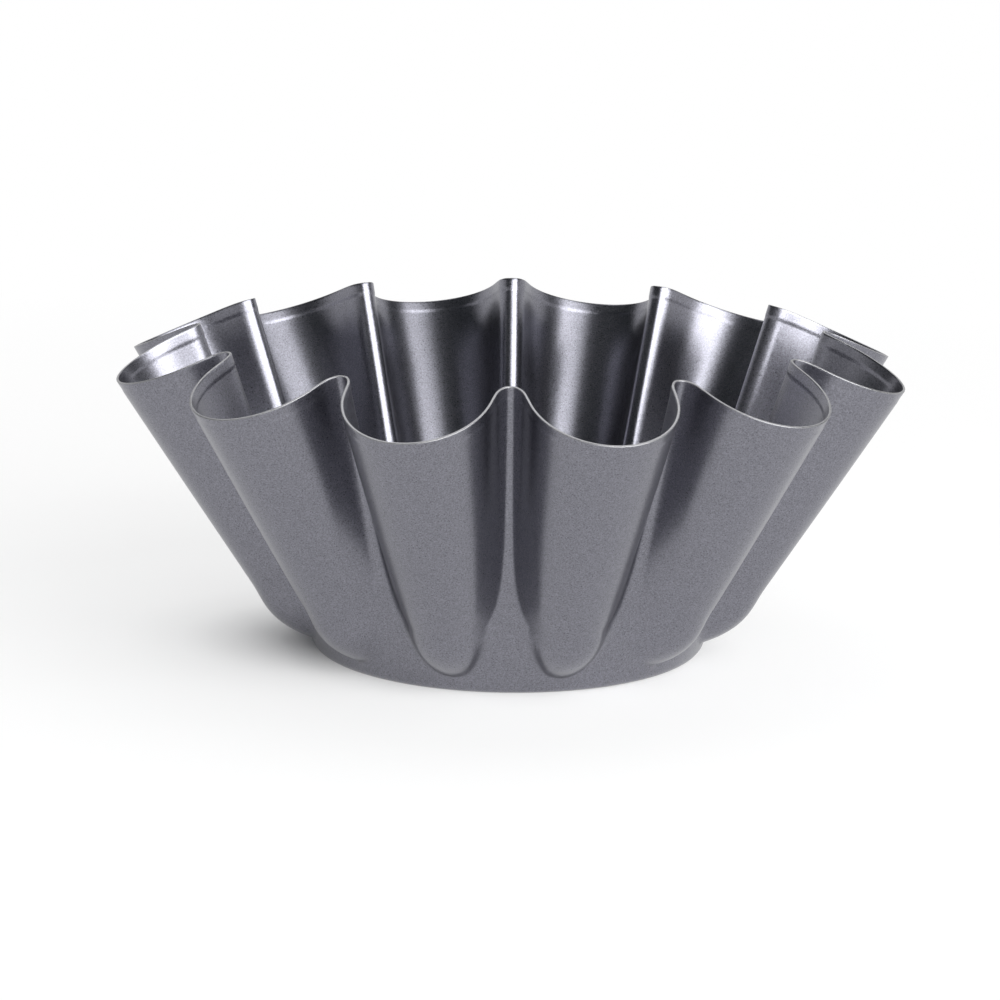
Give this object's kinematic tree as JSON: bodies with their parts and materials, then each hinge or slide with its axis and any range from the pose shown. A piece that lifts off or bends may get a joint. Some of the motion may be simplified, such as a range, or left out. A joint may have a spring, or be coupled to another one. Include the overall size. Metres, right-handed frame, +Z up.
{
  "type": "brioche mould",
  "caption": "Wide fluted brioche mould, pressed in one piece, that holds dough while it rises and bakes.",
  "frame": {"origin": "middle of the flat underside, on the table", "axes": "+Z up, -Y towards the front ridge, +X to the right"},
  "size_m": [0.2138, 0.2138, 0.0902],
  "materials": {
    "coated_steel": "satin dark grey non-stick coat with a fine metallic grain"
  },
  "bodies": {
    "root": {"mould": "coated_steel"}
  },
  "joints": []
}
